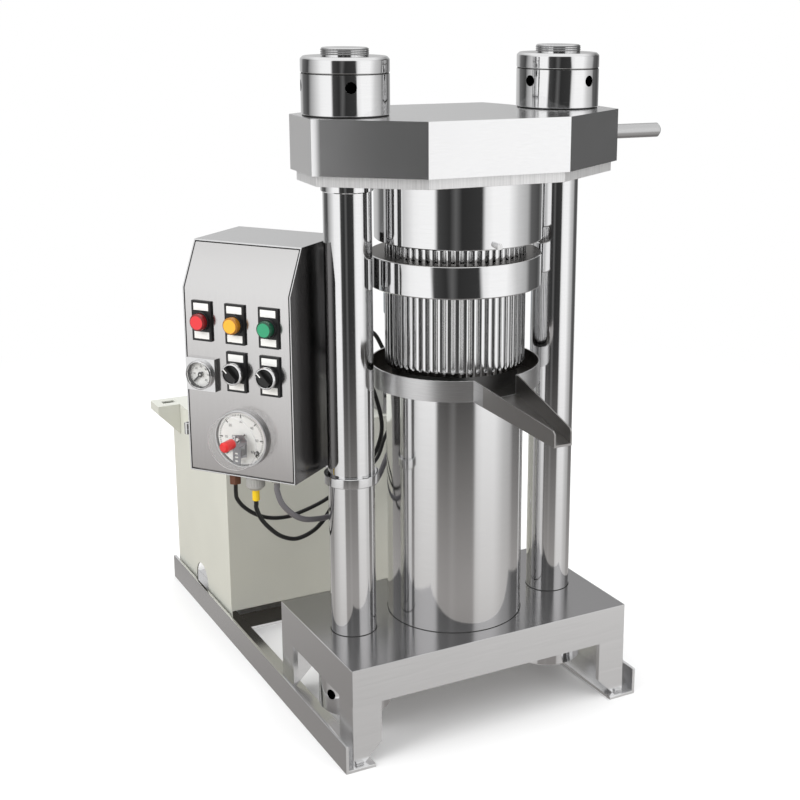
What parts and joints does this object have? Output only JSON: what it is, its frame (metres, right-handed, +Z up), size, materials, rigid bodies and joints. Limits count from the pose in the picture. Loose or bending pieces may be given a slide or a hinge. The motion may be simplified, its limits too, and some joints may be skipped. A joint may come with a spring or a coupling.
{
  "type": "hydraulic oil press",
  "caption": "Upright hydraulic oil press: slotted barrel under a swing-away beam between columns, oil tray with spout, oil tank and motor behind, control box on one column.",
  "frame": {"origin": "middle of the underside of the skid's front cross plate, on the floor, halfway between the rails", "axes": "+Z up; +Y back from the press towards the tank; +X to the right as seen from the press's front"},
  "size_m": [0.7658, 1.015, 1.0743],
  "materials": {
    "polished_steel": "highly polished stainless steel",
    "brushed_steel": "brushed stainless steel",
    "chrome": "mirror polished",
    "dark_steel": "dull machined steel",
    "tank_paint": "pale grey-green gloss paint",
    "motor_paint": "blue-grey paint",
    "black_plastic": "black plastic",
    "white_plastic": "white plastic",
    "red_plastic": "red plastic",
    "yellow_plastic": "yellow plastic",
    "green_plastic": "green plastic",
    "grey_plastic": "light grey plastic",
    "brown_paint": "brown anodised fitting",
    "clear_glass": "clear",
    "black_rubber": "black sheath",
    "grey_rubber": "grey sheath"
  },
  "bodies": {
    "frame": {"left_rail": "brushed_steel", "right_rail": "brushed_steel", "cross_plates": "brushed_steel", "table_legs": "brushed_steel", "base_block": "brushed_steel", "left_column": "chrome", "right_column": "chrome", "base_nuts": "polished_steel", "top_nuts": "polished_steel", "lock_rings": "polished_steel", "column_collars": "polished_steel", "hydraulic_cylinder": "polished_steel", "cylinder_gland": "dark_steel", "ram_seal": "black_rubber", "oil_tray": "polished_steel", "tray_spout": "polished_steel", "seat_ring": "polished_steel", "pressing_barrel": "polished_steel", "barrel_ring": "polished_steel", "tank_body": "tank_paint", "tank_cover": "tank_paint", "lifting_ears": "tank_paint", "drive_motor": "motor_paint", "motor_fan_cover": "motor_paint", "terminal_box": "motor_paint", "valve_block": "dark_steel", "gear_pump": "dark_steel", "pressure_pipe": "brushed_steel", "clamp_collar": "polished_steel", "box_arm": "brushed_steel", "box_body": "brushed_steel", "box_front": "brushed_steel", "label_plates": "black_plastic", "label_inserts": "white_plastic", "red_lamp": "red_plastic", "yellow_lamp": "yellow_plastic", "green_lamp": "green_plastic", "selector_bezels": "black_plastic", "oil_gauge_case": "polished_steel", "contact_gauge_case": "polished_steel", "gauge_dials": "white_plastic", "gauge_glasses": "clear_glass", "hose_fitting": "brown_paint", "cable_gland": "grey_plastic", "gland_sleeve": "yellow_plastic", "gauge_hose": "black_rubber", "supply_cable": "black_rubber", "control_cable": "grey_rubber"},
    "beam_group": {"beam": "polished_steel", "beam_under_plate": "brushed_steel", "press_head": "polished_steel", "head_pin": "polished_steel", "handle_rod": "polished_steel"},
    "ram_group": {"ram": "chrome", "pressing_plate": "dark_steel"},
    "left_selector": {"left_selector_knob": "black_plastic"},
    "right_selector": {"right_selector_knob": "black_plastic"},
    "oil_needle": {"oil_gauge_pointer": "black_plastic"},
    "contact_needle": {"contact_gauge_pointer": "black_plastic"},
    "setting_knob": {"contact_gauge_setting_knob": "red_plastic"}
  },
  "joints": [
    {"name": "beam_swing", "type": "hinge", "parent": "frame", "child": "beam_group", "pos_m": [-0.183, -0.42, 0.936], "axis": [0, 0, 1], "range_deg": [-100, 3.4]},
    {"name": "ram_lift", "type": "slide", "parent": "frame", "child": "ram_group", "axis": [0, 0, 1], "range_m": [0, 0.175]},
    {"name": "left_selector_turn", "type": "hinge", "parent": "frame", "child": "left_selector", "pos_m": [-0.35331, -0.37389, 0.595], "axis": [-0.788, -0.6157, 0], "range_deg": [-90, 0]},
    {"name": "right_selector_turn", "type": "hinge", "parent": "frame", "child": "right_selector", "pos_m": [-0.31761, -0.41959, 0.595], "axis": [-0.788, -0.6157, 0], "range_deg": [-90, 0]},
    {"name": "oil_gauge_needle", "type": "hinge", "parent": "frame", "child": "oil_needle", "pos_m": [-0.38772, -0.32335, 0.586], "axis": [-0.788, -0.6157, 0], "range_deg": [-270, 0], "stiffness_Nm_per_rad": 0.0004},
    {"name": "contact_gauge_needle", "type": "hinge", "parent": "frame", "child": "contact_needle", "pos_m": [-0.34551, -0.37413, 0.491], "axis": [-0.788, -0.6157, 0], "range_deg": [-270, 0], "stiffness_Nm_per_rad": 0.002},
    {"name": "contact_gauge_setting", "type": "hinge", "parent": "frame", "child": "setting_knob", "pos_m": [-0.37624, -0.39814, 0.491], "axis": [-0.788, -0.6157, 0], "range_deg": [-120, 120]}
  ]
}
